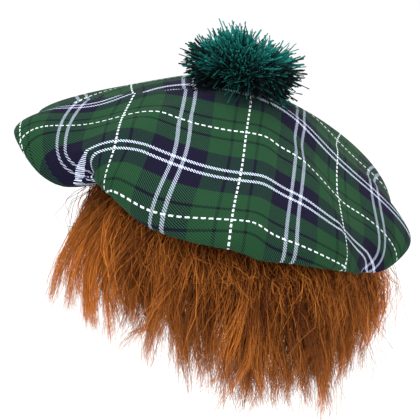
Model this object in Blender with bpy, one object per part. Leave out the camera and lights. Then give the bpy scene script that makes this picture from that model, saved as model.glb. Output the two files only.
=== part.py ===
"""Tam o' shanter: a slouching tartan crown on a cloth headband, with a yarn pompom and a fringe of fur hair.

The hat is made upright, round the axis of its head opening, and then leans as it is worn.
The origin is the centre of the opening, level with the lower edge of the headband.
"""
from collections import namedtuple
import math

import bmesh
import bpy
from mathutils import Matrix, Vector
from mathutils.bvhtree import BVHTree

# Head opening and headband
HEAD_ROUND = 0.580
BAND_HEIGHT = 0.030
BAND_WALL = 0.0025
FIT = 0.0003

# Crown
CROWN_REACH = 0.150
CROWN_RISE = 0.085
CROWN_ROLL = 0.012
CLOTH = 0.0016
HEM_HEIGHT = 0.019
HEM_TUCK = 0.016
APEX_OFFSET = -0.010
COLUMNS = 72
TOP_ROWS = 11
UNDER_ROWS = 6
GATHERS = 18
GATHER_DEPTH = 0.0022

# Pompom: a dome of yarn locks, sewn on beside the middle of the crown. POMPOM_BELLY is the share of
# its height above the widest place, and POMPOM_SINK how much of the rest lifts it off the cloth.
# Core, spread and taper are shares of a lock's reach and width.
POMPOM_WIDTH = 0.094
POMPOM_HEIGHT = 0.049
POMPOM_OFFSET = -0.017
POMPOM_BELLY = 0.68
POMPOM_SINK = 0.80
POMPOM_CORE = 0.78
LOCK_SPREAD = 0.22
LOCK_TAPER = 0.80
LOCK_END = 0.005
POMPOM_SEAT = 0.0005

# Fur hair
FUR_WALL = 0.0015
FUR_BACKING_HEIGHT = 0.020
FUR_BACKING_DROP = 0.0006
HAIR_LENGTH = 0.152
HAIR_DEPTH = 0.009
HAIR_LOCKS = 38
FACE_ANGLE = 100
FACE_AZIMUTH = 90

# Slope of the worn hat, right side down
LEAN = math.radians(14)

BAND_INNER = HEAD_ROUND / (2 * math.pi)
BAND_OUTER = BAND_INNER + BAND_WALL
HEM_RADIUS = BAND_OUTER + FIT + CLOTH / 2

# The crown's sections, one a row, at an azimuth in degrees from the right, anticlockwise from above.
# reach: share of CROWN_REACH out to the rim; height: share of CROWN_RISE at the rim;
# spread and peak: how far out, and how far down, the cloth leaves the top;
# shoulder: share of the drop over which the cloth stands before the rim; roll: share of CROWN_ROLL.
Section = namedtuple("Section", "azimuth reach height spread peak shoulder roll")
SECTIONS = (
    Section(0, 0.83, 0.11, 0.42, 0.14, 0.30, 0.50),
    Section(30, 0.88, 0.13, 0.44, 0.12, 0.36, 1.00),
    Section(60, 0.90, -0.04, 0.46, 0.10, 0.46, 1.00),
    Section(90, 0.90, -0.14, 0.48, 0.04, 0.50, 1.00),
    Section(120, 0.96, 0.02, 0.52, 0.00, 0.44, 1.00),
    Section(148, 1.04, 0.18, 0.46, 0.20, 0.24, 1.00),
    Section(162, 1.11, 0.15, 0.42, 0.30, 0.18, 1.00),
    Section(172, 1.06, 0.09, 0.42, 0.24, 0.24, 1.00),
    Section(187, 1.17, 0.18, 0.42, 0.18, 0.30, 1.00),
    Section(203, 1.03, -0.02, 0.42, 0.12, 0.52, 1.00),
    Section(212, 0.97, 0.15, 0.42, 0.12, 0.44, 0.60),
    Section(222, 0.92, 0.16, 0.42, 0.16, 0.40, 1.00),
    Section(240, 0.90, 0.02, 0.42, 0.20, 0.42, 1.00),
    Section(262, 0.90, 0.02, 0.42, 0.28, 0.30, 0.80),
    Section(290, 0.86, 0.00, 0.42, 0.28, 0.30, 0.90),
    Section(315, 0.86, -0.06, 0.42, 0.24, 0.36, 1.00),
    Section(328, 0.88, -0.13, 0.42, 0.20, 0.36, 0.60),
    Section(347, 0.94, 0.07, 0.42, 0.16, 0.20, 0.15),
)

# Creases, ridges and tucks of the crown. Each starts near the top at inner azimuth and ends on the
# rim at outer azimuth; start: share of the way out; depth: share of CROWN_RISE that it sinks;
# tuck: share of CROWN_REACH that the rim is drawn in; width in degrees.
Fold = namedtuple("Fold", "inner outer start depth tuck width")
FOLDS = (
    Fold(178, 174, 0.45, 0.14, 0.06, 5),
    Fold(207, 210, 0.82, 0.00, 0.13, 6),
    Fold(296, 269, 0.15, -0.03, 0.00, 7),
    Fold(306, 280, 0.15, 0.03, 0.00, 6),
    Fold(352, 330, 0.45, 0.03, 0.00, 14),
    Fold(328, 326, 0.80, -0.02, 0.05, 4),
)

# How the hair falls: depth as a share of HAIR_LENGTH; out: share of BAND_INNER that the fall stands
# outside its root; wall: share of HAIR_DEPTH; width: share of the lock's pitch.
# The first rows are one skirt all round, and the others part into locks.
Fall = namedtuple("Fall", "depth out wall width")
SKIRT_FALLS = (
    Fall(0.03, 0.000, 0.35, 1.00),
    Fall(0.16, 0.045, 0.80, 1.00),
    Fall(0.34, 0.105, 1.00, 1.00),
)
LOCK_FALLS = (
    Fall(0.52, 0.120, 0.95, 0.92),
    Fall(0.70, 0.080, 0.80, 0.74),
    Fall(0.86, -0.010, 0.55, 0.48),
    Fall(1.00, -0.100, 0.00, 0.00),
)
# How the hair is round the band at an azimuth. length: share of HAIR_LENGTH; flare: share of
# BAND_INNER that a lock's end stands out further. The side of the raised tip has flaring tufts.
Span = namedtuple("Span", "azimuth length flare")
HAIR_SPANS = (
    Span(0, 0.72, 0.10),
    Span(40, 0.72, 0.10),
    Span(140, 0.88, 0.18),
    Span(160, 0.86, 0.34),
    Span(178, 0.86, 0.22),
    Span(192, 0.86, 0.58),
    Span(200, 0.86, 0.40),
    Span(207, 0.78, 0.40),
    Span(217, 0.80, 0.26),
    Span(230, 0.88, 0.12),
    Span(250, 0.98, 0.08),
    Span(270, 1.00, 0.08),
    Span(315, 0.90, 0.06),
    Span(345, 0.78, 0.14),
)
# Share of a lock's flare that the skirt above it already has
SKIRT_FLARE = 0.80
# Thickness of a lock at its sides, as a share of that along its middle
LOCK_EDGE = 0.55
# How unlike each other the locks are: shortest length and range of it as shares of HAIR_LENGTH,
# and how far the lowest end swings in or out as a share of BAND_INNER
LOCK_SHORTEST = 0.84
LOCK_RANGE = 0.22
LOCK_SWING = 0.09


def clear_scene():
    """Start from an empty scene."""
    for item in list(bpy.data.objects):
        bpy.data.objects.remove(item, do_unlink=True)


def cloth_material(name, colour, roughness):
    """A Principled material with one colour."""
    material = bpy.data.materials.new(name)
    material.use_nodes = True
    shader = material.node_tree.nodes["Principled BSDF"]
    shader.inputs["Base Color"].default_value = (*colour, 1.0)
    shader.inputs["Roughness"].default_value = roughness
    shader.inputs["Metallic"].default_value = 0.0
    return material


def add_node(name, shape, material):
    """Turn a finished bmesh into an object that leans with the hat."""
    bmesh.ops.transform(shape, matrix=Matrix.Rotation(LEAN, 4, "Y"), verts=shape.verts)
    mesh = bpy.data.meshes.new(name)
    shape.to_mesh(mesh)
    shape.free()
    mesh.materials.append(material)
    mesh.shade_smooth()
    mesh.set_sharp_from_angle(angle=math.radians(55))
    item = bpy.data.objects.new(name, mesh)
    bpy.context.collection.objects.link(item)
    return item


def between(rows, name, azimuth):
    """A column's value at an azimuth, eased smoothly from row to row round the whole turn."""
    azimuth %= 360
    count = len(rows)
    last = max(i for i in range(count) if rows[i].azimuth <= azimuth)
    here, there = rows[last], rows[(last + 1) % count]
    before, after = rows[last - 1], rows[(last + 2) % count]
    span = (there.azimuth - here.azimuth) % 360
    value, target = getattr(here, name), getattr(there, name)
    slope_in = (target - getattr(before, name)) / ((there.azimuth - before.azimuth) % 360)
    slope_out = (getattr(after, name) - value) / ((after.azimuth - here.azimuth) % 360)
    share = (azimuth - here.azimuth) / span
    square, cube = share ** 2, share ** 3
    return ((2 * cube - 3 * square + 1) * value + (cube - 2 * square + share) * span * slope_in
            + (3 * square - 2 * cube) * target + (cube - square) * span * slope_out)


def along(points, share):
    """A point on the curve that four control points draw."""
    rest = 1 - share
    weights = (rest ** 3, 3 * rest ** 2 * share, 3 * rest * share ** 2, share ** 3)
    return sum((point * weight for point, weight in zip(points, weights)), Vector())


def turn_between(first, second):
    """The smallest turn from one azimuth to another, in degrees."""
    return (first - second + 180) % 360 - 180


def outward_at(azimuth):
    """The level way out from the middle of the hat at an azimuth in degrees."""
    turn = math.radians(azimuth)
    return Vector((math.cos(turn), math.sin(turn), 0))


def fold_shift(azimuth, share):
    """How far the folds move the top of the crown at a share of the way out."""
    shift = Vector()
    for fold in FOLDS:
        line = fold.inner + turn_between(fold.outer, fold.inner) * share
        across = turn_between(azimuth, line) / fold.width
        grown = max(0.0, (share - fold.start) / (1 - fold.start)) * math.exp(-across ** 2)
        shift -= outward_at(azimuth) * fold.tuck * CROWN_REACH * grown
        shift.z -= fold.depth * CROWN_RISE * grown
    return shift


def crown_curves(azimuth):
    """Control points of a section's top curve and of the curve tucked under it."""
    outward = outward_at(azimuth)
    up = Vector((0, 0, 1))
    values = {name: between(SECTIONS, name, azimuth) for name in Section._fields[1:]}
    apex = Vector((APEX_OFFSET, 0, CROWN_RISE))
    rim = outward * values["reach"] * CROWN_REACH + up * values["height"] * CROWN_RISE
    drop = apex.z - rim.z
    level = Vector((rim.x - apex.x, rim.y - apex.y, 0))
    hem = outward * HEM_RADIUS + up * HEM_HEIGHT
    roll = values["roll"] * CROWN_ROLL
    top = (apex, apex + level * values["spread"] - up * drop * values["peak"],
           rim + up * drop * values["shoulder"], rim)
    under = (rim, rim - up * roll, hem - up * HEM_TUCK, hem)
    return top, under


def crown_rows(azimuth):
    """The middle of the cloth from the top, over the rim, to the hem on the headband."""
    top, under = crown_curves(azimuth)
    rows = []
    for row in range(1, TOP_ROWS + 1):
        share = row / TOP_ROWS
        rows.append(along(top, share) + fold_shift(azimuth, share))
    edge = rows[-1] - top[3]
    for row in range(1, UNDER_ROWS + 1):
        share = row / UNDER_ROWS
        ripple = math.cos(math.radians(azimuth) * GATHERS) * GATHER_DEPTH * math.sin(math.pi * share)
        rows.append(along(under, share) + edge * (1 - share) ** 2 + Vector((0, 0, ripple)))
    return rows


def crown_shape():
    """The hollow crown: one cloth wall, closed along its hem."""
    grid = [crown_rows(360 * column / COLUMNS) for column in range(COLUMNS)]
    apex = Vector((APEX_OFFSET, 0, CROWN_RISE))
    last = TOP_ROWS + UNDER_ROWS - 1
    shape = bmesh.new()
    outer, inner = [], []
    for column in range(COLUMNS):
        rows, left, right = grid[column], grid[column - 1], grid[(column + 1) % COLUMNS]
        outer_line, inner_line = [], []
        for row, point in enumerate(rows):
            before = rows[row - 1] if row else apex
            after = rows[min(row + 1, last)]
            normal = (after - before).cross(right[row] - left[row]).normalized()
            outer_line.append(shape.verts.new(point + normal * CLOTH / 2))
            inner_line.append(shape.verts.new(point - normal * CLOTH / 2))
        outer.append(outer_line)
        inner.append(inner_line)
    top = shape.verts.new(apex + Vector((0, 0, CLOTH / 2)))
    below = shape.verts.new(apex - Vector((0, 0, CLOTH / 2)))
    for column in range(COLUMNS):
        following = (column + 1) % COLUMNS
        shape.faces.new((top, outer[column][0], outer[following][0]))
        shape.faces.new((below, inner[following][0], inner[column][0]))
        for row in range(last):
            shape.faces.new((outer[column][row], outer[column][row + 1],
                             outer[following][row + 1], outer[following][row]))
            shape.faces.new((inner[column][row], inner[following][row],
                             inner[following][row + 1], inner[column][row + 1]))
        shape.faces.new((outer[column][last], inner[column][last],
                         inner[following][last], outer[following][last]))
    return shape


def headband_shape():
    """The plain cloth ring that the head goes into."""
    shape = bmesh.new()
    corners = ((BAND_INNER, 0), (BAND_OUTER, 0), (BAND_OUTER, BAND_HEIGHT), (BAND_INNER, BAND_HEIGHT))
    rings = []
    for column in range(COLUMNS):
        outward = outward_at(360 * column / COLUMNS)
        rings.append([shape.verts.new(outward * radius + Vector((0, 0, height)))
                      for radius, height in corners])
    for column in range(COLUMNS):
        here, there = rings[column], rings[(column + 1) % COLUMNS]
        for corner in range(4):
            following = (corner + 1) % 4
            shape.faces.new((here[corner], there[corner], there[following], here[following]))
    return shape


def uneven(index, turn):
    """A steady uneven number from 0 to 1 for each index and turn."""
    return math.sin(index * 12.9898 + turn * 78.233) * 437.585 % 1.0


def height_below(cloth, place):
    """The highest point of the crown under a lock's end, all over the end's own width."""
    heights = []
    for azimuth in range(0, 360, 45):
        for reach in (0, LOCK_END / 2, LOCK_END):
            start = Vector((place.x, place.y, CROWN_RISE + POMPOM_HEIGHT * 2)) + outward_at(azimuth) * reach
            heights.append(cloth.ray_cast(start, Vector((0, 0, -1)))[0].z)
    return max(heights)


def pompom_shape(crown):
    """A dome of yarn, each facet of its core drawn out as a tapered lock, resting on the crown."""
    shape = bmesh.new()
    bmesh.ops.create_icosphere(shape, subdivisions=3, radius=1)
    above, below = POMPOM_HEIGHT * POMPOM_BELLY, POMPOM_HEIGHT * (1 - POMPOM_BELLY)
    for vert in shape.verts:
        tall = above if vert.co.z > 0 else below
        vert.co = Vector((vert.co.x * POMPOM_WIDTH / 2, vert.co.y * POMPOM_WIDTH / 2, vert.co.z * tall))
        vert.co *= POMPOM_CORE
    faces = bmesh.ops.extrude_discrete_faces(shape, faces=shape.faces[:])["faces"]
    for index, face in enumerate(faces):
        middle = face.calc_center_median()
        reach = 1 / POMPOM_CORE + LOCK_SPREAD * (uneven(index, 1) - 0.5)
        for vert in face.verts:
            vert.co = middle * reach + (vert.co - middle) * LOCK_TAPER
    centre = Vector((POMPOM_OFFSET, 0, CROWN_RISE + below * POMPOM_SINK))
    bmesh.ops.translate(shape, vec=centre, verts=shape.verts)
    cloth = BVHTree.FromBMesh(crown)
    for vert in shape.verts:
        vert.co.z = max(vert.co.z, height_below(cloth, vert.co) + POMPOM_SEAT)
    return shape


def add_pair(shape, point, outward, wall):
    """The outer and inner vertex of a wall at one place."""
    return shape.verts.new(point + outward * wall / 2), shape.verts.new(point - outward * wall / 2)


def add_wall(shape, left, right):
    """Outer and inner faces between two lines of vertex pairs, left to right from outside."""
    for row in range(len(left) - 1):
        shape.faces.new((left[row][0], left[row + 1][0], right[row + 1][0], right[row][0]))
        shape.faces.new((left[row][1], right[row][1], right[row + 1][1], left[row + 1][1]))


def add_side(shape, line, leads):
    """Faces that close a wall along one line of vertex pairs."""
    for row in range(len(line) - 1):
        corners = (line[row][0], line[row][1], line[row + 1][1], line[row + 1][0])
        shape.faces.new(corners if leads else corners[::-1])


def hair_point(azimuth, fall, length, swing):
    """The middle of the hair at one fall: down the opening's axis under the backing, then plumb."""
    outward = outward_at(azimuth)
    plumb = Matrix.Rotation(-LEAN, 3, "Y") @ Vector((0, 0, -1))
    root = outward * (BAND_INNER - FIT - FUR_WALL / 2)
    way = Vector((0, 0, -1)) if fall is SKIRT_FALLS[0] else plumb
    return root + way * fall.depth * length + outward * (fall.out + swing * fall.depth) * BAND_INNER


def hair_length(azimuth):
    """The length of the hair that is rooted at an azimuth."""
    return HAIR_LENGTH * between(HAIR_SPANS, "length", azimuth)


def skirt_line(shape, azimuth, share):
    """Vertex pairs down the fur backing and the skirt of hair below it."""
    outward = outward_at(azimuth)
    flare = SKIRT_FLARE * between(HAIR_SPANS, "flare", azimuth)
    line = []
    for height in (FUR_BACKING_HEIGHT - FUR_BACKING_DROP, -FUR_BACKING_DROP):
        point = outward * (BAND_INNER - FIT - FUR_WALL / 2) + Vector((0, 0, height))
        line.append(add_pair(shape, point, outward, FUR_WALL))
    for fall in SKIRT_FALLS:
        point = hair_point(azimuth, fall, hair_length(azimuth), flare)
        line.append(add_pair(shape, point, outward, HAIR_DEPTH * fall.wall * share))
    return line


def add_lock(shape, skirt, azimuth, pitch, lock):
    """One tapered lock below three lines of the skirt, drawn out to a point."""
    length = hair_length(azimuth) * (LOCK_SHORTEST + LOCK_RANGE * uneven(lock, 2))
    swing = LOCK_SWING * (uneven(lock, 3) - 0.5) + between(HAIR_SPANS, "flare", azimuth)
    lines = [[line[-1]] for line in skirt]
    for place, share, line in zip((-0.5, 0, 0.5), (LOCK_EDGE, 1, LOCK_EDGE), lines):
        for fall in LOCK_FALLS[:-1]:
            turned = azimuth + pitch * fall.width * place
            point = hair_point(turned, fall, length, swing)
            line.append(add_pair(shape, point, outward_at(turned), HAIR_DEPTH * fall.wall * share))
    left, middle, right = lines
    add_wall(shape, left, middle)
    add_wall(shape, middle, right)
    add_side(shape, left, True)
    add_side(shape, right, False)
    tip = shape.verts.new(hair_point(azimuth, LOCK_FALLS[-1], length, swing))
    outer = [line[-1][0] for line in lines]
    inner = [line[-1][1] for line in reversed(lines)]
    ring = outer + inner
    for corner, vert in enumerate(ring):
        shape.faces.new((ring[(corner + 1) % len(ring)], vert, tip))


def hair_shape():
    """Fur backing inside the headband, with hair that falls as a skirt and parts into locks."""
    shape = bmesh.new()
    pitch = (360 - FACE_ANGLE) / HAIR_LOCKS
    first = FACE_AZIMUTH + FACE_ANGLE / 2
    borders = [skirt_line(shape, first + pitch * lock, LOCK_EDGE) for lock in range(HAIR_LOCKS + 1)]
    for lock in range(HAIR_LOCKS):
        azimuth = first + pitch * (lock + 0.5)
        skirt = (borders[lock], skirt_line(shape, azimuth, 1), borders[lock + 1])
        add_wall(shape, skirt[0], skirt[1])
        add_wall(shape, skirt[1], skirt[2])
        for left, right in zip(skirt, skirt[1:]):
            shape.faces.new((left[0][0], right[0][0], right[0][1], left[0][1]))
        add_lock(shape, skirt, azimuth, pitch, lock)
    add_side(shape, borders[0], True)
    add_side(shape, borders[-1], False)
    return shape


def build():
    clear_scene()
    crown = crown_shape()
    pompom = pompom_shape(crown)
    add_node("crown", crown, cloth_material("tartan cloth", (0.035, 0.105, 0.055), 0.85))
    add_node("headband", headband_shape(), cloth_material("dark green cloth", (0.02, 0.05, 0.03), 0.9))
    add_node("pompom", pompom, cloth_material("green yarn", (0.003, 0.085, 0.06), 0.8))
    add_node("hair_fringe", hair_shape(), cloth_material("ginger fur", (0.38, 0.13, 0.03), 0.6))


build()
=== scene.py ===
import math

import bpy
import numpy as np
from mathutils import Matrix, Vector


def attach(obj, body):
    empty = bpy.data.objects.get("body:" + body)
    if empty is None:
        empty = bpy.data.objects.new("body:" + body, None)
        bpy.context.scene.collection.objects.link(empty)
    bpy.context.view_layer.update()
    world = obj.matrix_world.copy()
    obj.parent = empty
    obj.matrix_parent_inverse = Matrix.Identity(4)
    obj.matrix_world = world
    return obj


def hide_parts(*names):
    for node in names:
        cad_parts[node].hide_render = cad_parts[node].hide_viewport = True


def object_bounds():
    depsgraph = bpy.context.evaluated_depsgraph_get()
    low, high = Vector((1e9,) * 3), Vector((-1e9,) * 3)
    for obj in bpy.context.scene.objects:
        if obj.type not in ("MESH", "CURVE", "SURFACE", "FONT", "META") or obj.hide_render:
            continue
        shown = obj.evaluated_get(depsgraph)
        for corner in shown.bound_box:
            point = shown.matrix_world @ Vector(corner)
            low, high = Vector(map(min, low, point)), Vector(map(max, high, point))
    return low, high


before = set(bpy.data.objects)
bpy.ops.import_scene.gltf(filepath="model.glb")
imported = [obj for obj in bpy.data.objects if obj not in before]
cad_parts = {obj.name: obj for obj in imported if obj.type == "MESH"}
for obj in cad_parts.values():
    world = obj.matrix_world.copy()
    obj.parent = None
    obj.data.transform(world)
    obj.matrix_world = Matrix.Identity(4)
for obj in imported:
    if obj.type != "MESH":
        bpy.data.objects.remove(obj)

cad_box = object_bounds()

# Studio: a pale floor well below the hanging hat, a broad soft light from above and in front,
# and a long lens that looks down on the hat by the photo's 18 degrees.
LOOK_DOWN = math.radians(18)
CAMERA_AWAY = 2.4
SENSOR = 0.036
PICTURE = 420
PIXELS_PER_METRE = 1300
FLOOR_BELOW = 0.55
AIM_RIGHT = -0.0177
AIM_UP = -0.0113
bpy.ops.object.select_all(action="DESELECT")
bpy.ops.object.camera_add()
camera = bpy.context.object
camera.data.sensor_width = SENSOR * 1000
camera.data.lens = PIXELS_PER_METRE * CAMERA_AWAY / PICTURE * SENSOR * 1000
camera.data.clip_end = 50
aim = Vector((AIM_RIGHT, AIM_UP * math.sin(LOOK_DOWN), AIM_UP * math.cos(LOOK_DOWN)))
camera.location = aim + Vector((0, -math.cos(LOOK_DOWN), math.sin(LOOK_DOWN))) * CAMERA_AWAY
camera.rotation_euler = (math.pi / 2 - LOOK_DOWN, 0, 0)
bpy.context.scene.camera = camera
bpy.context.scene.view_settings.view_transform = "Standard"

bpy.ops.mesh.primitive_plane_add(size=40, location=(0, 0, cad_box[0][2] - FLOOR_BELOW))
floor = bpy.context.object
floor.name = "floor"
floor_paint = bpy.data.materials.new("pale floor")
floor_paint.use_nodes = True
floor_shader = floor_paint.node_tree.nodes["Principled BSDF"]
floor_shader.inputs["Base Color"].default_value = (0.93, 0.93, 0.93, 1)
floor_shader.inputs["Roughness"].default_value = 0.9
floor.data.materials.append(floor_paint)

world = bpy.data.worlds.new("studio")
world.use_nodes = True
world.node_tree.nodes["Background"].inputs["Color"].default_value = (1, 1, 1, 1)
world.node_tree.nodes["Background"].inputs["Strength"].default_value = 1.0
bpy.context.scene.world = world

LIGHTS = (
    ("key", (-0.9, -1.3, 1.9), 1.2, 34),
    ("fill", (1.5, -1.2, 0.7), 1.2, 10),
    ("top", (0.1, 0.5, 1.8), 1.0, 14),
)
for name, place, size, power in LIGHTS:
    bpy.ops.object.light_add(type="AREA", location=place)
    light = bpy.context.object
    light.name = name
    light.data.size = size
    light.data.energy = power
    light.rotation_euler = (aim - Vector(place)).to_track_quat("-Z", "Y").to_euler()


# Crown: the slouching hollow of tartan cloth. It is one wall of brushed twill that runs from the
# middle of the top, over a soft rolled rim, and is gathered underneath to the headband.
LEAN = math.radians(14)
CROWN_REACH = 0.150
CROWN_RISE = 0.085
CROWN_ROLL = 0.012
APEX_OFFSET = -0.010
CLOTH = 0.0016
HEM_RADIUS = 0.0956
HEM_HEIGHT = 0.019
HEM_TUCK = 0.016
GATHERS = 54
GATHER_DEPTH = 0.0016
GATHER_DRIFT = 1.3
GATHER_DRIFTS = 5
ROUND = 300
TOP_ROWS = 78
UNDER_ROWS = 42
REPEAT = 0.094
TWILL_PITCH = 0.0015
DASH = 0.0050

# Lines of the form round the hat: azimuth, reach and height of the rim, spread and peak of the top
# near the middle, shoulder above the rim and roll below it
SECTIONS = (
    (0, 0.83, 0.11, 0.42, 0.14, 0.30, 0.50),
    (30, 0.88, 0.13, 0.44, 0.12, 0.36, 1.00),
    (60, 0.90, -0.04, 0.46, 0.10, 0.46, 1.00),
    (90, 0.90, -0.14, 0.48, 0.04, 0.50, 1.00),
    (120, 0.96, 0.02, 0.52, 0.00, 0.44, 1.00),
    (148, 1.04, 0.18, 0.46, 0.20, 0.24, 1.00),
    (162, 1.11, 0.15, 0.42, 0.30, 0.18, 1.00),
    (172, 1.06, 0.09, 0.42, 0.24, 0.24, 1.00),
    (187, 1.17, 0.18, 0.42, 0.18, 0.30, 1.00),
    (203, 1.03, -0.02, 0.42, 0.12, 0.52, 1.00),
    (212, 0.97, 0.15, 0.42, 0.12, 0.44, 0.60),
    (222, 0.92, 0.16, 0.42, 0.16, 0.40, 1.00),
    (240, 0.90, 0.02, 0.42, 0.20, 0.42, 1.00),
    (262, 0.90, 0.02, 0.42, 0.28, 0.30, 0.80),
    (290, 0.86, 0.00, 0.42, 0.28, 0.30, 0.90),
    (315, 0.86, -0.06, 0.42, 0.24, 0.36, 1.00),
    (328, 0.88, -0.13, 0.42, 0.20, 0.36, 0.60),
    (347, 0.94, 0.07, 0.42, 0.16, 0.20, 0.15),
)
# Folds that run down to the rim: inner and outer azimuth, share of the way at which it starts,
# depth, tuck inwards, width in degrees
FOLDS = (
    (178, 174, 0.45, 0.14, 0.06, 5),
    (207, 210, 0.82, 0.00, 0.13, 6),
    (296, 269, 0.15, -0.03, 0.00, 7),
    (306, 280, 0.15, 0.03, 0.00, 6),
    (352, 330, 0.45, 0.03, 0.00, 14),
    (328, 326, 0.80, -0.02, 0.05, 4),
)
# How the cloth is turned on the hat: azimuth on the hat and the cloth's own azimuth at the rim
TURNS = (
    (10, 12), (27, 27), (90, 90), (180, 180), (210, 210), (226, 236), (243, 251.6),
    (270, 270), (292, 288), (312, 305), (322, 330), (333, 343), (348, 359),
)
TURN_GROWTH = 1.2
# How much cloth is eased into each length of the form: azimuth and share
EASE = ((0, 1.11), (27, 1.08), (90, 1.00), (180, 1.06), (225, 1.00), (270, 1.00), (315, 1.03),
        (340, 1.08))

# How far the cloth is drawn off that: a place across and down it, in half repeats from the
# middle, and how far it is drawn each way there
DRAWN = (
    (-2.9, -0.8, -0.15, -0.18), (1.9, -0.3, 0.08, -0.69), (2.8, -0.4, 0.19, -0.58),
    (-2.9, 0.6, -0.09, -0.57), (-1.9, 0.3, -0.07, -0.08), (-1.0, 0.1, -0.03, 0.12),
    (0.1, 0.1, -0.07, -0.08), (1.1, 0.2, -0.11, -0.17), (1.9, 0.5, 0.05, -0.50),
    (2.9, 0.4, 0.13, -0.39), (-4.0, 0.8, -0.05, 0.16), (-3.1, 0.8, 0.10, 0.17),
    (-2.1, 0.9, 0.09, 0.11), (-1.0, 1.1, -0.04, -0.14), (-0.0, 1.1, 0.00, -0.12),
    (1.0, 1.3, 0.00, -0.26), (2.0, 1.5, -0.01, -0.51), (3.3, 1.0, -0.28, 0.01),
    (-3.4, 1.6, 0.18, 0.22), (-2.1, 1.8, 0.07, 0.24), (-0.9, 2.1, -0.05, -0.08),
    (-0.1, 2.2, 0.06, -0.17), (0.9, 2.1, 0.08, -0.15), (1.9, 2.4, 0.06, -0.44),
    (3.6, 1.5, -0.62, 0.54), (-2.1, 2.6, 0.13, 0.36), (-1.1, 3.0, 0.05, -0.05),
    (-0.1, 3.0, 0.11, -0.02), (0.9, 3.0, 0.14, -0.03), (2.1, 3.0, -0.09, 0.02),
    (-2.0, -2.0, 0.00, 0.00), (0.0, -2.0, 0.00, 0.00), (2.0, -2.0, 0.00, 0.00),
    (3.0, -2.0, 0.00, 0.00), (0.0, -1.0, 0.00, 0.00), (-1.0, -0.5, 0.00, 0.46),
    (-1.9, -0.6, 0.00, 0.44), (-1.2, -1.4, 0.00, 0.18), (-2.2, -1.4, 0.00, 0.16),
)
DRAW_REACH = 1.0
DRAW_SLACK = 0.05
# A soft crease down the front: place and width across, reach to its sides, how far down it grows,
# and how far it steps the rows of the pattern
CREASE_PLACE = 0.25
CREASE_WIDTH = 0.16
CREASE_REACH = 0.9
CREASE_DOWN = 0.6
CREASE_STEP = 0.05


def eased(table, column, azimuths):
    """A table's column at each azimuth, eased smoothly from row to row round the turn."""
    places = np.array([row[0] for row in table], float)
    values = np.array([row[column] for row in table], float)
    places = np.concatenate((places - 360, places, places + 360))
    values = np.tile(values, 3)
    slopes = np.empty_like(values)
    slopes[1:-1] = (values[2:] - values[:-2]) / (places[2:] - places[:-2])
    slopes[0], slopes[-1] = slopes[len(table)], slopes[-1 - len(table)]
    row = np.searchsorted(places, azimuths % 360, side="right") - 1
    span = places[row + 1] - places[row]
    share = (azimuths % 360 - places[row]) / span
    square, cube = share ** 2, share ** 3
    return ((2 * cube - 3 * square + 1) * values[row] + (cube - 2 * square + share) * span * slopes[row]
            + (3 * square - 2 * cube) * values[row + 1] + (cube - square) * span * slopes[row + 1])


def cloth_turn(azimuths):
    """The cloth's own azimuth at the rim, less the hat's."""
    places = np.array([row[0] for row in TURNS], float)
    offsets = np.array([row[1] - row[0] for row in TURNS], float)
    places = np.concatenate((places - 360, places, places + 360))
    return np.interp(azimuths % 360, places, np.tile(offsets, 3))


def bend(points, share):
    """The curve that four control points draw, at each share of its length."""
    rest = 1 - share
    return (rest ** 3 * points[0] + 3 * rest ** 2 * share * points[1]
            + 3 * rest * share ** 2 * points[2] + share ** 3 * points[3])


def crown_surface(azimuths):
    """The middle of the cloth: one line of points from the top to the hem for each azimuth."""
    turn = np.radians(azimuths)[:, None, None]
    outward = np.concatenate((np.cos(turn), np.sin(turn), 0 * turn), axis=2)
    up = np.array((0.0, 0.0, 1.0))
    reach, height, spread, peak, shoulder, roll = (
        eased(SECTIONS, column, azimuths)[:, None, None] for column in range(1, len(SECTIONS[0])))
    apex = np.array((APEX_OFFSET, 0, CROWN_RISE))
    rim = outward * reach * CROWN_REACH + up * height * CROWN_RISE
    drop = CROWN_RISE - rim[:, :, 2:]
    level = (rim - apex) * (1, 1, 0)
    hem = outward * HEM_RADIUS + up * HEM_HEIGHT
    share = np.linspace(0, 1, TOP_ROWS + 1)[None, :, None]
    top = bend((apex, apex + level * spread - up * drop * peak, rim + up * drop * shoulder, rim), share)
    for inner, outer, start, depth, tuck, width in FOLDS:
        line = inner + (outer - inner) * share
        across = ((azimuths[:, None, None] - line + 180) % 360 - 180) / width
        grown = np.clip((share - start) / (1 - start), 0, 1) * np.exp(-across ** 2)
        top = top - grown * (outward * tuck * CROWN_REACH + up * depth * CROWN_RISE)
    edge = top[:, -1:] - rim
    share = np.linspace(0, 1, UNDER_ROWS + 1)[None, 1:, None]
    under = bend((rim, rim - up * roll * CROWN_ROLL, hem - up * HEM_TUCK, hem), share)
    under = under + edge * (1 - share) ** 2
    ripple = np.cos(turn * GATHERS + GATHER_DRIFT * np.sin(turn * GATHER_DRIFTS))
    ripple = ripple * GATHER_DEPTH * np.sin(math.pi * share) * share
    return np.concatenate((top, under + up * ripple), axis=1)


def lean_over(points):
    """Turn points of the upright hat as it sits on a head, right side down."""
    x, y, z = points[..., 0], points[..., 1], points[..., 2]
    cos, sin = math.cos(LEAN), math.sin(LEAN)
    return np.stack((x * cos + z * sin, y, z * cos - x * sin), axis=-1)


azimuths = np.arange(ROUND) * 360.0 / ROUND
surface = crown_surface(azimuths)
steps = np.linalg.norm(np.diff(surface, axis=1), axis=2)
lengths = np.concatenate((np.zeros((ROUND, 1)), np.cumsum(steps, axis=1)), axis=1)
shares = np.clip(lengths / lengths[:, TOP_ROWS, None], 0, 1)
cloth_azimuths = np.radians(azimuths[:, None] + cloth_turn(azimuths)[:, None] * shares ** TURN_GROWTH)
cloth_out = lengths * eased(EASE, 1, azimuths)[:, None] / (REPEAT / 2)
cloth = np.stack((cloth_out * np.cos(cloth_azimuths), -cloth_out * np.sin(cloth_azimuths)), axis=-1)
drawn = np.array(DRAWN)


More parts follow.
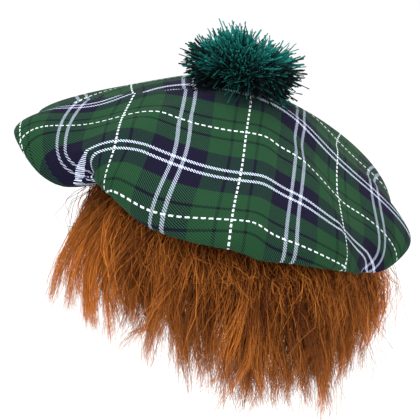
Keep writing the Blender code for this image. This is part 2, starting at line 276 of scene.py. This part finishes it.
def nearness(there, here):
    """How strongly a draw at each place there is felt at each place here."""
    return np.exp(-np.sum((here[..., None, :] - there) ** 2, axis=-1) / DRAW_REACH ** 2)


held = nearness(drawn[:, :2], drawn[:, :2]) + DRAW_SLACK * np.eye(len(drawn))
cloth = (cloth + nearness(drawn[:, :2], cloth) @ np.linalg.solve(held, drawn[:, 2:])) / 2
from_crease = (cloth[..., 0] - CREASE_PLACE) * 2
step = (np.tanh(from_crease / CREASE_WIDTH) * np.exp(-(from_crease / CREASE_REACH) ** 2)
        * np.clip(cloth[..., 1], 0, CREASE_DOWN))
cloth[..., 1] -= CREASE_STEP * step
cloth_across, cloth_down = cloth[..., 0], cloth[..., 1]
surface = lean_over(surface)

bpy.ops.object.select_all(action="DESELECT")
bpy.ops.mesh.primitive_uv_sphere_add(segments=ROUND, ring_count=TOP_ROWS + UNDER_ROWS + 1, radius=1)
crown = bpy.context.object
crown.name = "tartan_crown"
bpy.ops.object.mode_set(mode="EDIT")
bpy.ops.mesh.select_all(action="DESELECT")
bpy.ops.object.mode_set(mode="OBJECT")
lowest = min(crown.data.vertices, key=lambda vertex: vertex.co.z)
lowest.select = True
bpy.ops.object.mode_set(mode="EDIT")
bpy.ops.mesh.delete(type="VERT")
bpy.ops.object.mode_set(mode="OBJECT")
rings = np.empty((len(crown.data.vertices), 3))
crown.data.vertices.foreach_get("co", rings.ravel())
ring_turn = math.pi / (TOP_ROWS + UNDER_ROWS + 1)
ring = np.rint(np.arccos(np.clip(rings[:, 2], -1, 1)) / ring_turn).astype(int)
ring_azimuth = np.degrees(np.arctan2(rings[:, 1], rings[:, 0])) % 360
column = np.rint(ring_azimuth / (360 / ROUND)).astype(int) % ROUND
column[ring == 0] = 0
crown.data.vertices.foreach_set("co", surface[column, ring].astype(np.float32).ravel())

cloth_map = crown.data.uv_layers.active
cloth_map.name = "cloth"
corners = np.empty(len(crown.data.loops), int)
crown.data.loops.foreach_get("vertex_index", corners)
places = np.stack((cloth_across[column, ring][corners], cloth_down[column, ring][corners]), axis=1)
cloth_map.data.foreach_set("uv", places.astype(np.float32).ravel())
crown.data.update()
wall = crown.modifiers.new("wall", "SOLIDIFY")
wall.thickness = CLOTH
wall.offset = 0
bpy.ops.object.modifier_apply(modifier=wall.name)
bpy.ops.object.shade_smooth()


class Thread:
    """A socket in a finish's nodes. Sums and comparisons on threads add Math nodes."""

    def __init__(self, tree, socket=None):
        self.tree = tree
        self.socket = socket

    def node(self, kind, settings=None, inputs=None, output=0):
        """Add a node with its settings, feed its inputs, and give back one of its outputs."""
        made = self.tree.nodes.new(kind)
        for name, value in (settings or {}).items():
            setattr(made, name, value)
        for name, value in (inputs or {}).items():
            if isinstance(value, Thread):
                self.tree.links.new(value.socket, made.inputs[name])
            else:
                made.inputs[name].default_value = value
        return Thread(self.tree, made.outputs[output])

    def math(self, operation, *values):
        return self.node("ShaderNodeMath", {"operation": operation}, dict(enumerate(values)))

    def __add__(self, other):
        return self.math("ADD", self, other)

    __radd__ = __add__

    def __sub__(self, other):
        return self.math("SUBTRACT", self, other)

    def __rsub__(self, other):
        return self.math("SUBTRACT", other, self)

    def __mul__(self, other):
        return self.math("MULTIPLY", self, other)

    __rmul__ = __mul__

    def __mod__(self, other):
        return self.math("FLOORED_MODULO", self, other)

    def __lt__(self, other):
        return self.math("LESS_THAN", self, other)

    def __gt__(self, other):
        return self.math("GREATER_THAN", self, other)

    def __abs__(self):
        return self.math("ABSOLUTE", self)

    def tint(self, base, colour):
        """The base colour where this mask is 0 and the other where it is 1."""
        mixed = {0: self, 6: base, 7: colour}
        return self.node("ShaderNodeMix", {"data_type": "RGBA"}, mixed, output=2)


def finish(name, roughness, sheen=0.0, gloss=0.25):
    """A new finish with its constants set: its material, its tree of nodes and its shader."""
    made = bpy.data.materials.new(name)
    made.use_nodes = True
    tree = made.node_tree
    shader = tree.nodes["Principled BSDF"]
    shader.inputs["Roughness"].default_value = roughness
    shader.inputs["Specular IOR Level"].default_value = gloss
    shader.inputs["Sheen Weight"].default_value = sheen
    shader.inputs["Sheen Roughness"].default_value = 0.4
    return made, tree, shader


GREEN = (0.0125, 0.0540, 0.0220, 1)
NAVY = (0.0060, 0.0050, 0.0190, 1)
DARK_STRIPE = (0.004, 0.007, 0.011, 1)
WHITE = (0.54, 0.60, 0.76, 1)
DASH_WHITE = (0.74, 0.80, 0.84, 1)
NAVY_HALF = 0.21
PAIR_OFFSET = 0.043
PAIR_HALF = 0.0145
STRIPE_OFFSET = 0.11
STRIPE_HALF = 0.013
DASH_HALF = 0.0080
DASH_SHARE = 0.60
# How the fuzz of the nap lightens the cloth, and the painted shade of the soft wrinkles and of each
# rib of the twill: lighter where they rise, darker in their hollows
NAP_FUZZ = 0.5
WRINKLE_SHADE = 0.3
NAP_BASE = 0.6
RIB_LIGHT = 0.90
RIB_SHADE = 0.53

tartan, tree, shader = finish("tartan twill", 0.9, sheen=0.02, gloss=0.10)
start = Thread(tree).node("ShaderNodeUVMap", {"uv_map": "cloth"})
across = start.node("ShaderNodeSeparateXYZ", inputs={0: start}, output=0)
down = start.node("ShaderNodeSeparateXYZ", inputs={0: start}, output=1)


def sett(place):
    """The stripes of one yarn system: its colour, and the mask of its dashed line."""
    from_pair = place.math("PINGPONG", place, 0.5)
    from_dash = 0.5 - from_pair
    colour = (from_pair < NAVY_HALF).tint(GREEN, NAVY)
    colour = (abs(from_dash - STRIPE_OFFSET) < STRIPE_HALF).tint(colour, DARK_STRIPE)
    colour = (abs(from_pair - PAIR_OFFSET) < PAIR_HALF).tint(colour, WHITE)
    return colour, from_dash < DASH_HALF


warp, warp_line = sett(across + 0.5)
weft, weft_line = sett(down)
diagonal = (across - down) * (REPEAT / (TWILL_PITCH * math.sqrt(2)))
rib = diagonal.math("PINGPONG", diagonal, 0.5) * 2
woven = (rib > 0.5).tint(warp, weft)
warp_dash = warp_line * ((down * (REPEAT / DASH)) % 1 < DASH_SHARE)
weft_dash = weft_line * ((across * (REPEAT / DASH)) % 1 < DASH_SHARE)
woven = warp_dash.math("MAXIMUM", warp_dash, weft_dash).tint(woven, DASH_WHITE)
fuzz = start.node("ShaderNodeTexNoise", inputs={"Vector": start, "Scale": 160.0, "Detail": 4.0})
wrinkles = start.node("ShaderNodeTexNoise", inputs={"Vector": start, "Scale": 3.0, "Detail": 3.0})
# Painted shade: the colour is lighter where the soft wrinkles and the twill ribs rise and darker in
# their hollows, on top of the fuzz of the nap
nap_and_shade = (fuzz * NAP_FUZZ + wrinkles * WRINKLE_SHADE + NAP_BASE) * (rib * RIB_LIGHT + RIB_SHADE)
grey = start.node("ShaderNodeCombineColor", inputs={0: nap_and_shade, 1: nap_and_shade, 2: nap_and_shade})
lit = start.node("ShaderNodeMix", {"data_type": "RGBA", "blend_type": "MULTIPLY"},
                 {0: 1.0, 6: woven, 7: grey}, output=2)
tree.links.new(lit.socket, shader.inputs["Base Color"])
raised = rib + fuzz * 0.8 + wrinkles * 5
relief = start.node("ShaderNodeBump", inputs={"Strength": 0.5, "Distance": 0.0004, "Height": raised})
tree.links.new(relief.socket, shader.inputs["Normal"])
crown.data.materials.clear()
crown.data.materials.append(tartan)
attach(crown, "root")
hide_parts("crown")


# Headband: a stout dark green cloth tape with soft edges, sewn into a ring. It carries the crown's
# gathers outside and the fur's backing inside.
BAND_INNER = 0.0923
BAND_WALL = 0.0025
BAND_HEIGHT = 0.030
BAND_EDGE = 0.0009
BAND_ROUND = 240
bpy.ops.object.select_all(action="DESELECT")
bpy.ops.mesh.primitive_cylinder_add(
    vertices=BAND_ROUND, radius=BAND_INNER + BAND_WALL, depth=BAND_HEIGHT,
    end_fill_type="NOTHING", location=(0, 0, BAND_HEIGHT / 2))
band = bpy.context.object
band.name = "cloth_headband"
bpy.ops.object.transform_apply(location=True, rotation=True, scale=True)
bpy.ops.object.mode_set(mode="EDIT")
bpy.ops.mesh.select_all(action="SELECT")
bpy.ops.mesh.normals_make_consistent(inside=False)
bpy.ops.object.mode_set(mode="OBJECT")
wall = band.modifiers.new("wall", "SOLIDIFY")
wall.thickness = BAND_WALL
wall.offset = -1
bpy.ops.object.modifier_apply(modifier=wall.name)
edge = band.modifiers.new("folded edge", "BEVEL")
edge.width = BAND_EDGE
edge.segments = 3
bpy.ops.object.modifier_apply(modifier=edge.name)
bpy.ops.transform.rotate(value=-LEAN, orient_axis="Y", center_override=(0, 0, 0))
bpy.ops.object.transform_apply(location=True, rotation=True, scale=True)
bpy.ops.object.shade_smooth()
band_cloth, tree, shader = finish("band cloth", 0.9, sheen=0.2)
start = Thread(tree).node("ShaderNodeTexCoord", output="Object")
weave = start.node("ShaderNodeTexNoise", inputs={"Vector": start, "Scale": 900.0, "Detail": 3.0})
cloth_colour = weave.tint((0.010, 0.030, 0.018, 1), (0.028, 0.070, 0.042, 1))
tree.links.new(cloth_colour.socket, shader.inputs["Base Color"])
relief = start.node("ShaderNodeBump", inputs={"Strength": 0.6, "Distance": 0.0004, "Height": weave})
tree.links.new(relief.socket, shader.inputs["Normal"])
band.data.materials.clear()
band.data.materials.append(band_cloth)
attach(band, "root")
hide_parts("headband")


# Pompom: a tied bundle of cut teal green yarn. Each end is a loose twisted ply, and they stand out
# from the knot as a ragged dome that rests on the middle of the crown.
POMPOM_WIDTH = 0.087
POMPOM_DEPTH = 0.071
POMPOM_HEIGHT = 0.0350
POMPOM_OFFSET = -0.015
POMPOM_BACK = 0.010
POMPOM_BELLY = 0.68
POMPOM_SINK = 0.85
POMPOM_DROOP = 0.020
BUNDLES = 170
YARNS = 5200
YARN_RINGS = 4
YARN_SIDES = 4
YARN_RADIUS = 0.00044
YARN_THICKER = 0.15
YARN_TWIST = 3.5
YARN_BEGIN = 0.35
BUNDLE_SPREAD = 0.17
BUNDLE_WANDER = 0.0050
BUNDLE_VARIES = 0.05
YARN_WANDER = 0.0032
YARN_LOWEST = -0.72
# Length of a yarn as a share of the dome's reach: the shortest, what the others add, the share of
# them that add no more, and how much the odd ones add
YARN_SHORTEST = 0.82
YARN_VARIES = 0.14
COMMON_YARNS = 0.985
ODD_LONGER = 0.13
# How far the yarn lies above the cloth, and the step in degrees at which that is measured
YARN_CLEAR = 0.0012
CLOTH_STEP = 2.0
# Tufts and dips of the dome: right, towards the back and up from the knot, gain in length, width
TUFTS = (
    (-0.18, -0.15, 0.97, 0.09, 0.18),
    (0.10, -0.15, 0.98, -0.16, 0.13),
    (0.36, -0.10, 0.92, 0.06, 0.22),
    (-0.74, -0.25, 0.64, -0.28, 0.38),
    (0.00, -0.70, -0.70, -0.45, 0.60),
    (0.65, -0.60, -0.50, -0.35, 0.50),
    (0.00, -1.00, 0.00, -0.12, 0.50),
    (-0.98, -0.05, 0.10, 0.07, 0.22),
    (0.95, 0.00, 0.10, -0.04, 0.30),
)
chance = np.random.default_rng(7)


def tubes(name, paths, radii, tone, twist=0.0, sides=3):
    """One mesh of many closed tubes along their paths, mapped by tone across and length down."""
    count, rings = paths.shape[:2]
    along = np.gradient(paths, axis=1)
    along /= np.linalg.norm(along, axis=2, keepdims=True)
    beside = chance.normal(size=(count, 1, 3))
    first = np.cross(beside, along)
    first /= np.linalg.norm(first, axis=2, keepdims=True)
    second = np.cross(along, first)
    turn = 2 * math.pi * np.arange(sides) / sides
    turn = turn[None, None, :] + (twist * np.linspace(0, 1, rings))[None, :, None]
    spoke = np.cos(turn)[..., None] * first[:, :, None] + np.sin(turn)[..., None] * second[:, :, None]
    points = paths[:, :, None] + spoke * radii[..., None, None]
    number = np.arange(count * rings * sides).reshape(count, rings, sides)
    following = np.roll(number, -1, axis=2)
    walls = np.stack((number[:, :-1], following[:, :-1], following[:, 1:], number[:, 1:]), axis=-1)
    walls = walls.reshape(-1, 4)
    roots, tips = number[:, 0, ::-1], number[:, -1]
    corners = np.concatenate((walls.ravel(), roots.ravel(), tips.ravel()))
    starts = np.concatenate((np.arange(len(walls)) * 4, len(walls) * 4 + np.arange(2 * count) * sides))
    totals = np.concatenate((np.full(len(walls), 4), np.full(2 * count, sides)))
    mesh = bpy.data.meshes.new(name)
    mesh.vertices.add(points.size // 3)
    mesh.vertices.foreach_set("co", points.astype(np.float32).ravel())
    mesh.loops.add(len(corners))
    mesh.loops.foreach_set("vertex_index", corners.astype(np.int32))
    mesh.polygons.add(len(starts))
    mesh.polygons.foreach_set("loop_start", starts.astype(np.int32))
    mesh.polygons.foreach_set("loop_total", totals.astype(np.int32))
    length = np.broadcast_to(np.linspace(0, 1, rings)[None, :, None], number.shape)
    tones = np.broadcast_to(tone[:, None, None], number.shape)
    where = np.stack((tones.ravel()[corners], length.ravel()[corners]), axis=1)
    mesh.uv_layers.new(name="strand").data.foreach_set("uv", where.astype(np.float32).ravel())
    mesh.update(calc_edges=True)
    mesh.shade_smooth()
    made = bpy.data.objects.new(name, mesh)
    bpy.context.collection.objects.link(made)
    return made


belly = POMPOM_HEIGHT * (1 - POMPOM_BELLY)
knot = np.array((POMPOM_OFFSET, POMPOM_BACK, CROWN_RISE + belly * POMPOM_SINK))
heading = chance.normal(size=(BUNDLES, 3))
heading /= np.linalg.norm(heading, axis=1, keepdims=True)
owner = chance.integers(0, BUNDLES, YARNS)
spread = heading[owner] + BUNDLE_SPREAD * chance.normal(size=(YARNS, 3))
spread /= np.linalg.norm(spread, axis=1, keepdims=True)
spread[:, 2] = np.where(spread[:, 2] < YARN_LOWEST, -spread[:, 2], spread[:, 2])
size = np.where(spread[:, 2:] > 0,
                (POMPOM_WIDTH / 2, POMPOM_DEPTH / 2, POMPOM_HEIGHT * POMPOM_BELLY),
                (POMPOM_WIDTH / 2, POMPOM_DEPTH / 2, POMPOM_DROOP))
gain = 1 + BUNDLE_VARIES * chance.normal(size=(BUNDLES, 1))[owner]
for right, back, up, more, width in TUFTS:
    apart = np.linalg.norm(spread - (right, back, up), axis=1, keepdims=True)
    gain += more * np.exp(-(apart / width) ** 2)
length = YARN_SHORTEST + YARN_VARIES * chance.random((YARNS, 1))
length = (length + ODD_LONGER * (chance.random((YARNS, 1)) > COMMON_YARNS)) * gain
end = knot + spread * size * length
share = np.linspace(0, 1, YARN_RINGS)[None, :, None]
begin = knot + spread * size * YARN_BEGIN
wander = chance.normal(size=(BUNDLES, 1, 3))[owner] * BUNDLE_WANDER
wander = wander + chance.normal(size=(YARNS, 1, 3)) * YARN_WANDER
kink = chance.normal(size=(YARNS, 1, 3)) * YARN_WANDER
paths = (begin[:, None] * (1 - share) + end[:, None] * share + wander * share ** 2
         + kink * np.sin(share * math.pi * 1.6))
# The lower ends lie on the cloth below them
cloth_lines = crown_surface(np.arange(0, 360, CLOTH_STEP))[:, :TOP_ROWS // 2]
nearest = (np.degrees(np.arctan2(paths[..., 1], paths[..., 0])) % 360 / CLOTH_STEP).astype(int)
for points, numbers in zip(paths, nearest):
    for point, number in zip(points, numbers):
        line = cloth_lines[number]
        below = np.interp(np.hypot(point[0], point[1]), np.hypot(line[:, 0], line[:, 1]), line[:, 2])
        point[2] = max(point[2], below + YARN_CLEAR)
radii = YARN_RADIUS * (0.7 + 0.6 * chance.random((YARNS, 1)))
radii = radii * (1 + YARN_THICKER * np.linspace(0, 1, YARN_RINGS)[None])
# Painted light and shade: the yarn is lighter towards the top and the back, where the light falls,
# and darker low at the front; each bundle and yarn also has a shade of its own
tone = (0.10 + 0.46 * spread[:, 2] + 0.12 * spread[:, 1]
        + 0.20 * chance.normal(size=BUNDLES)[owner] + 0.18 * chance.normal(size=YARNS))
pompom = tubes("yarn_pompom", lean_over(paths), radii, np.clip(tone, 0, 1), YARN_TWIST, YARN_SIDES)
yarn, tree, shader = finish("teal yarn", 0.8, sheen=0.02, gloss=0.12)
start = Thread(tree).node("ShaderNodeUVMap", {"uv_map": "strand"})
shade = start.node("ShaderNodeSeparateXYZ", inputs={0: start}, output=0)
depth = start.node("ShaderNodeSeparateXYZ", inputs={0: start}, output=1)
yarn_colour = shade.tint((0.0001, 0.0035, 0.0037, 1), (0.0010, 0.042, 0.038, 1))
# Painted highlight: the ends of the yarns turn bright teal, most of all on the lit upper yarns
yarn_colour = (depth * depth * depth * shade * 0.9).tint(yarn_colour, (0.010, 0.300, 0.260, 1))
tree.links.new(yarn_colour.socket, shader.inputs["Base Color"])
place = Thread(tree).node("ShaderNodeTexCoord", output="Object")
fluff = place.node("ShaderNodeTexNoise", inputs={"Vector": place, "Scale": 2500.0, "Detail": 2.0})
relief = place.node("ShaderNodeBump", inputs={"Strength": 0.5, "Distance": 0.0003, "Height": fluff})
tree.links.new(relief.socket, shader.inputs["Normal"])
pompom.data.materials.append(yarn)
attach(pompom, "root")
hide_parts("pompom")


# Hair: long ginger artificial fur on a knitted strip sewn inside the headband, with a gap for the
# face. Loose locks of crimped fibre fall plumb and flare out, most on the side where the crown is
# raised.
FUR_WALL = 0.0015
FIT = 0.0003
HAIR_LENGTH = 0.152
FACE_ANGLE = 100
FACE_AZIMUTH = 90
LOCKS = 420
HAIRS = 30
HAIR_RINGS = 8
HAIR_RADIUS = 0.00026
LOCK_REACH = 0.0072
# How much nearer the middle the undermost hair is rooted, and how far the roots lie below the band
ROOT_DEPTH = 0.006
ROOT_DROP = 0.001
# How far the undermost hair stands out by FALLS, and how much more the outermost does
FALL_UNDER = 0.35
FALL_OUTER = 0.85
# Waves of a whole lock and of each hair in it (m), and how many there are down its length
LOCK_WAVE = 0.0070
LOCK_WAVES = 1.0
HAIR_CRIMP = 0.0017
HAIR_CRIMPS = 2.6
HAIR_TREMBLE = 0.00035
# Locks that drift to the side at random, and in waves round the band
SWEEP_STRAY = 0.015
SWEEP_WAVE = 0.012
SWEEP_WAVES = 13
# Share of the hairs that stay in their lock, and how far a lock closes towards its end
KEPT_HAIRS = 0.88
LOCK_CLOSES = 0.88
# Shortest lock and shortest hair, how much the others add, and the least flare and what is added
LOCK_SHORTEST = 0.74
LOCK_VARIES = 0.20
HAIR_SHORTEST = 0.82
HAIR_VARIES = 0.18
FLARE_LEAST = 0.3
FLARE_VARIES = 1.9
# Shade of the fur: of all of it, and how it varies by lock, by broad bands and by hair, the painted
# highlight on the few locks that get one, and the painted shade that darkens the undermost hair
SHADE = 0.36
SHADE_LOCK = 0.30
SHADE_BAND = 0.12
SHADE_HAIR = 0.15
LOCK_HIGHLIGHT = 0.35
UNHIGHLIGHTED_LOCKS = 0.92
UNDER_PAINTED_SHADE = 0.45
# Down a hair: share of its length, and share of the band's inner radius that it stands out
FALLS = (
    (0.0, 0.000), (0.03, 0.000), (0.16, 0.045), (0.34, 0.105),
    (0.52, 0.120), (0.70, 0.095), (0.86, 0.040), (1.00, -0.010),
)
# Round the band: azimuth, length as a share of HAIR_LENGTH, flare and sweep to the side as shares
# of the inner radius
FLOW = (
    (0, 0.60, 0.16, 0.00), (40, 0.70, 0.12, 0.00), (140, 0.84, 0.18, 0.04),
    (165, 0.68, 0.12, 0.00), (185, 0.60, 0.12, -0.02), (200, 0.60, 0.14, -0.06),
    (212, 0.68, 0.17, -0.14), (225, 0.78, 0.19, -0.22), (240, 0.84, 0.20, -0.24),
    (255, 0.93, 0.17, -0.16), (270, 1.00, 0.15, -0.08), (290, 1.00, 0.12, 0.00),
    (305, 0.98, 0.10, 0.00), (318, 0.90, 0.10, 0.03), (332, 0.80, 0.12, 0.05),
    (345, 0.68, 0.16, 0.05),
)
# Stray wisps: azimuth, length, how far the end stands out and forward (m), hairs
WISPS = (
    (196, 0.112, 0.060, 0.012, 90), (200, 0.108, 0.048, 0.022, 80), (190, 0.104, 0.046, 0.000, 60),
    (204, 0.110, 0.036, 0.026, 90), (186, 0.120, 0.034, 0.000, 60), (208, 0.116, 0.034, 0.030, 90),
    (194, 0.124, 0.028, 0.016, 70), (214, 0.120, 0.026, 0.026, 70), (199, 0.092, 0.030, 0.012, 80),
    (352, 0.092, 0.024, 0.000, 44), (358, 0.100, 0.018, 0.004, 34), (340, 0.112, 0.016, 0.004, 30),
    (150, 0.120, 0.040, 0.000, 36), (165, 0.110, 0.044, 0.000, 36), (30, 0.100, 0.020, 0.000, 30),
)
PLUMB = np.array((math.sin(LEAN), 0, -math.cos(LEAN)))


def hair_lines(azimuths, lengths, layers, flares):
    """Lines of hair in the upright hat's frame, from their roots on the strip down to their ends."""
    share = np.linspace(0, 1, HAIR_RINGS)[None, :]
    turn = np.radians(azimuths)
    outward = np.stack((np.cos(turn), np.sin(turn), 0 * turn), axis=1)[:, None]
    root = outward * (BAND_INNER - FIT - FUR_WALL - ROOT_DEPTH * (1 - layers[:, None, None]))
    root = root - np.array((0, 0, ROOT_DROP))
    fall = np.interp(share, [row[0] for row in FALLS], [row[1] for row in FALLS])
    flared = flares[:, None] * layers[:, None] * share ** 1.2
    out = (fall * (FALL_UNDER + FALL_OUTER * layers[:, None]) + flared) * BAND_INNER
    return root + PLUMB * (share * lengths[:, None])[..., None] + outward * out[..., None]


def crimp(count, amount, turns):
    """A wave of its own for each of count hairs, growing from the root."""
    share = np.linspace(0, 1, HAIR_RINGS)[None, :, None]
    phase = chance.random((count, 1, 3)) * 2 * math.pi
    pace = turns * (0.6 + 0.8 * chance.random((count, 1, 1))) * 2 * math.pi
    return amount * (np.sin(share * pace + phase) - np.sin(phase)) * share ** 0.6


def finish_hair(name, paths, radius, tone):
    """One piece of hair from its lines, thin at the tips, with its finish and place in the part."""
    count = len(paths)
    taper = (1 - 0.75 * np.linspace(0, 1, HAIR_RINGS) ** 2)[None] * radius
    radii = taper * (0.7 + 0.6 * chance.random((count, 1)))
    made = tubes(name, lean_over(paths), radii, np.clip(tone, 0, 1))
    made.data.materials.append(fur)
    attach(made, "root")
    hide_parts("hair_fringe")


def locks_of(count, hairs):
    """Lines and tones of count locks round the strip, each of so many hairs that close to its end."""
    span = 360 - FACE_ANGLE
    first = FACE_AZIMUTH + FACE_ANGLE / 2
    centre = first + span * (np.arange(count) + chance.random(count)) / count
    layer = chance.random(count) ** 0.7
    length = HAIR_LENGTH * eased(FLOW, 1, centre) * (LOCK_SHORTEST + LOCK_VARIES * chance.random(count))
    flare = eased(FLOW, 2, centre) * (FLARE_LEAST + FLARE_VARIES * chance.random(count) ** 2)
    spine = hair_lines(centre, length, layer, flare) + crimp(count, LOCK_WAVE, LOCK_WAVES)
    turn = np.radians(centre)
    sweep = eased(FLOW, 3, centre) * BAND_INNER * layer + chance.normal(size=count) * SWEEP_STRAY
    sweep += SWEEP_WAVE * np.sin(turn * SWEEP_WAVES + 4 * layer)
    swing = sweep[:, None, None] * np.linspace(0, 1, HAIR_RINGS)[None, :, None] ** 1.3
    spine = spine + swing * np.stack((-np.sin(turn), np.cos(turn), 0 * turn), axis=1)[:, None]
    owner = np.repeat(np.arange(count), hairs)
    total = len(owner)
    share = np.linspace(0, 1, HAIR_RINGS)[None, :, None]
    offset = chance.normal(size=(total, 1, 3)) * LOCK_REACH * (1, 1, 0.1)
    stray = chance.random((total, 1, 1)) > KEPT_HAIRS
    keep = np.where(stray, 0.7 + 1.5 * share, 1 - LOCK_CLOSES * share)
    cut = HAIR_SHORTEST + HAIR_VARIES * chance.random((total, 1, 1))
    at = np.clip(share * cut, 0, 1) * (HAIR_RINGS - 1)
    low = np.minimum(at.astype(int), HAIR_RINGS - 2)
    part = at - low
    rows = owner[:, None]
    body = spine[rows, low[..., 0]] * (1 - part) + spine[rows, low[..., 0] + 1] * part
    paths = body + offset * keep * np.minimum(1, share * 6 + 0.35)
    paths = paths + crimp(total, HAIR_CRIMP, HAIR_CRIMPS)
    paths = paths + chance.normal(size=paths.shape) * HAIR_TREMBLE * share
    broad = np.sin(turn * 9 + 1) + np.sin(turn * 23 + 2 * layer)
    tone = SHADE + (SHADE_LOCK * chance.normal(size=count) + SHADE_BAND * broad)[owner]
    tone = tone + SHADE_HAIR * chance.normal(size=total)
    # A painted highlight lifts a few locks, and painted shade darkens the undermost hair
    tone = tone + LOCK_HIGHLIGHT * (chance.random(count) > UNHIGHLIGHTED_LOCKS)[owner]
    tone = tone - UNDER_PAINTED_SHADE * (1 - layer[owner])
    return paths, tone


BACKING_HEIGHT = 0.020
BACKING_DROP = 0.0006
bpy.ops.object.select_all(action="DESELECT")
bpy.ops.mesh.primitive_cylinder_add(
    vertices=BAND_ROUND, radius=BAND_INNER - FIT, depth=BACKING_HEIGHT,
    end_fill_type="NOTHING", location=(0, 0, BACKING_HEIGHT / 2 - BACKING_DROP))
backing = bpy.context.object
backing.name = "fur_backing"
bpy.ops.object.transform_apply(location=True, rotation=True, scale=True)
bpy.ops.object.mode_set(mode="EDIT")
bpy.ops.mesh.select_all(action="DESELECT")
bpy.ops.object.mode_set(mode="OBJECT")
for face in backing.data.polygons:
    azimuth = math.degrees(math.atan2(face.center.y, face.center.x)) % 360
    face.select = abs(azimuth - FACE_AZIMUTH) < FACE_ANGLE / 2
bpy.ops.object.mode_set(mode="EDIT")
bpy.ops.mesh.delete(type="FACE")
bpy.ops.mesh.select_all(action="SELECT")
bpy.ops.mesh.subdivide(number_cuts=2)
bpy.ops.object.mode_set(mode="OBJECT")
wall = backing.modifiers.new("wall", "SOLIDIFY")
wall.thickness = FUR_WALL
wall.offset = -1
bpy.ops.object.modifier_apply(modifier=wall.name)
bpy.ops.transform.rotate(value=-LEAN, orient_axis="Y", center_override=(0, 0, 0))
bpy.ops.object.transform_apply(location=True, rotation=True, scale=True)
bpy.ops.object.shade_smooth_by_angle(angle=math.radians(40))
knit, tree, shader = finish("knitted backing", 0.9)
start = Thread(tree).node("ShaderNodeTexCoord", output="Object")
loops = start.node("ShaderNodeTexNoise", inputs={"Vector": start, "Scale": 700.0, "Detail": 2.0})
knit_colour = loops.tint((0.050, 0.014, 0.004, 1), (0.160, 0.050, 0.015, 1))
tree.links.new(knit_colour.socket, shader.inputs["Base Color"])
relief = start.node("ShaderNodeBump", inputs={"Strength": 0.6, "Distance": 0.0005, "Height": loops})
tree.links.new(relief.socket, shader.inputs["Normal"])
backing.data.materials.clear()
backing.data.materials.append(knit)
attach(backing, "root")
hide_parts("hair_fringe")

fur, tree, shader = finish("ginger fur", 0.6, sheen=0.0, gloss=0.12)
start = Thread(tree).node("ShaderNodeUVMap", {"uv_map": "strand"})
shade = start.node("ShaderNodeSeparateXYZ", inputs={0: start}, output=0)
depth = start.node("ShaderNodeSeparateXYZ", inputs={0: start}, output=1)
hair_colour = shade.tint((0.075, 0.014, 0.002, 1), (0.900, 0.290, 0.045, 1))
# Painted shade darkens the hair towards its roots under the rim, and painted light brightens the ends
hair_colour = ((1 - depth) * (1 - depth) * 0.9).tint(hair_colour, (0.070, 0.014, 0.002, 1))
hair_colour = (depth * depth * depth * 0.50).tint(hair_colour, (0.600, 0.200, 0.040, 1))
tree.links.new(hair_colour.socket, shader.inputs["Base Color"])

# The locks are set in four passes, each one piece
PIECES = 4
for piece in range(PIECES):
    paths, tones = locks_of(LOCKS // PIECES, HAIRS)
    finish_hair(f"fur_locks_{piece + 1}", paths, HAIR_RADIUS, tones)

WISP_SPREAD = 5
WISP_LAYER = 0.9
lines, tones = [], []
for azimuth, length, out, forward, hairs in WISPS:
    share = np.linspace(0, 1, HAIR_RINGS)[None, :, None]
    spot = azimuth + WISP_SPREAD * chance.normal(size=hairs)
    reach = length * (0.75 + 0.28 * chance.random(hairs))
    wisp = hair_lines(spot, reach, np.full(hairs, WISP_LAYER), np.zeros(hairs))
    turn = math.radians(azimuth)
    lean_out = np.array((math.cos(turn) * out, math.sin(turn) * out - forward, 0))
    centre = wisp.mean(axis=0, keepdims=True)
    wisp = centre + (wisp - centre) * (1 - 0.75 * share) + lean_out * share ** 1.1
    lines.append(wisp + crimp(hairs, 0.0016, 1.5) + chance.normal(size=(hairs, 1, 3)) * 0.0022 * share)
    tones.append(0.62 + 0.18 * chance.normal(size=hairs))
finish_hair("fur_wisps", np.concatenate(lines), HAIR_RADIUS * 0.9, np.concatenate(tones))

# Short loose hairs of the outermost layer, close to the rest
FRIZZ = 1400
FRIZZ_LENGTH = 0.035
FRIZZ_LONGER = 0.045
FRIZZ_BESIDE = 0.018
FRIZZ_CRIMP = 0.005
span = 360 - FACE_ANGLE
spot = FACE_AZIMUTH + FACE_ANGLE / 2 + span * chance.random(FRIZZ)
reach = FRIZZ_LENGTH + FRIZZ_LONGER * chance.random(FRIZZ)
lines = hair_lines(spot, reach, np.full(FRIZZ, 1.0), 0.03 + 0.10 * chance.random(FRIZZ))
share = np.linspace(0, 1, HAIR_RINGS)[None, :, None]
turn = np.radians(spot)
beside = np.stack((-np.sin(turn), np.cos(turn), 0 * turn), axis=1)[:, None]
lines = lines + beside * chance.normal(size=(FRIZZ, 1, 1)) * FRIZZ_BESIDE * share
lines = lines + crimp(FRIZZ, FRIZZ_CRIMP, 1.6)
lines = lines + chance.normal(size=(FRIZZ, 1, 3)) * FRIZZ_CRIMP * share
finish_hair("fur_frizz", lines, HAIR_RADIUS * 0.8, 0.68 + 0.25 * chance.normal(size=FRIZZ))
